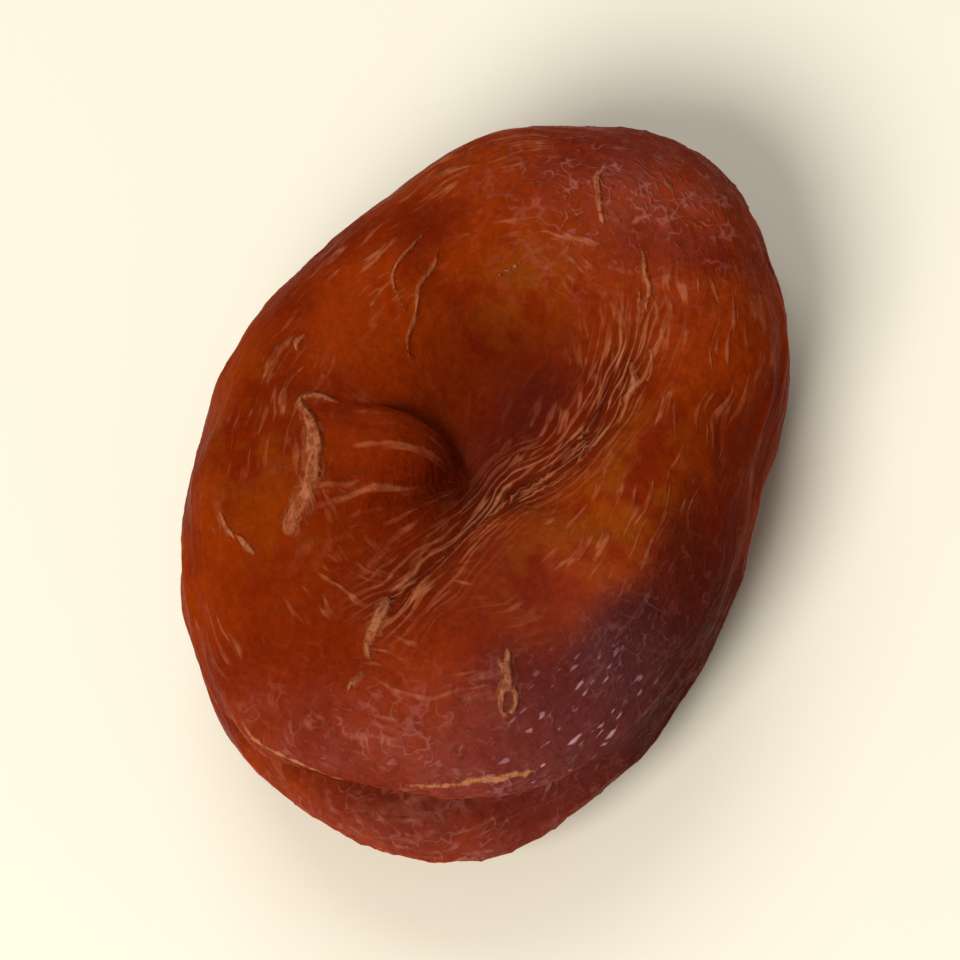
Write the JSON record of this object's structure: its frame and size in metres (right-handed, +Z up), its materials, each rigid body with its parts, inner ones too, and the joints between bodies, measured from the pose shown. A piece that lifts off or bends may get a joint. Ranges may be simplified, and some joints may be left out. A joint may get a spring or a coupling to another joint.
{
  "type": "dried apricot",
  "caption": "Whole sun-dried apricot with its stone pressed out: a plump oval cushion with a creased hollow on top and a two-lipped slit in its rim.",
  "frame": {"origin": "centre of the footprint, on the surface that the fruit lies on", "axes": "+X along the fruit's length, from the slit at the stem end to the tip; +Y across its width; +Z up, out of the hollow that the stone left"},
  "size_m": [0.039, 0.0284, 0.0127],
  "materials": {
    "apricot_skin": "waxy, translucent dried fruit skin, orange-brown with fine pale wrinkles and a purple bloom on the rim"
  },
  "bodies": {
    "root": {"dried_apricot": "apricot_skin"}
  },
  "joints": []
}
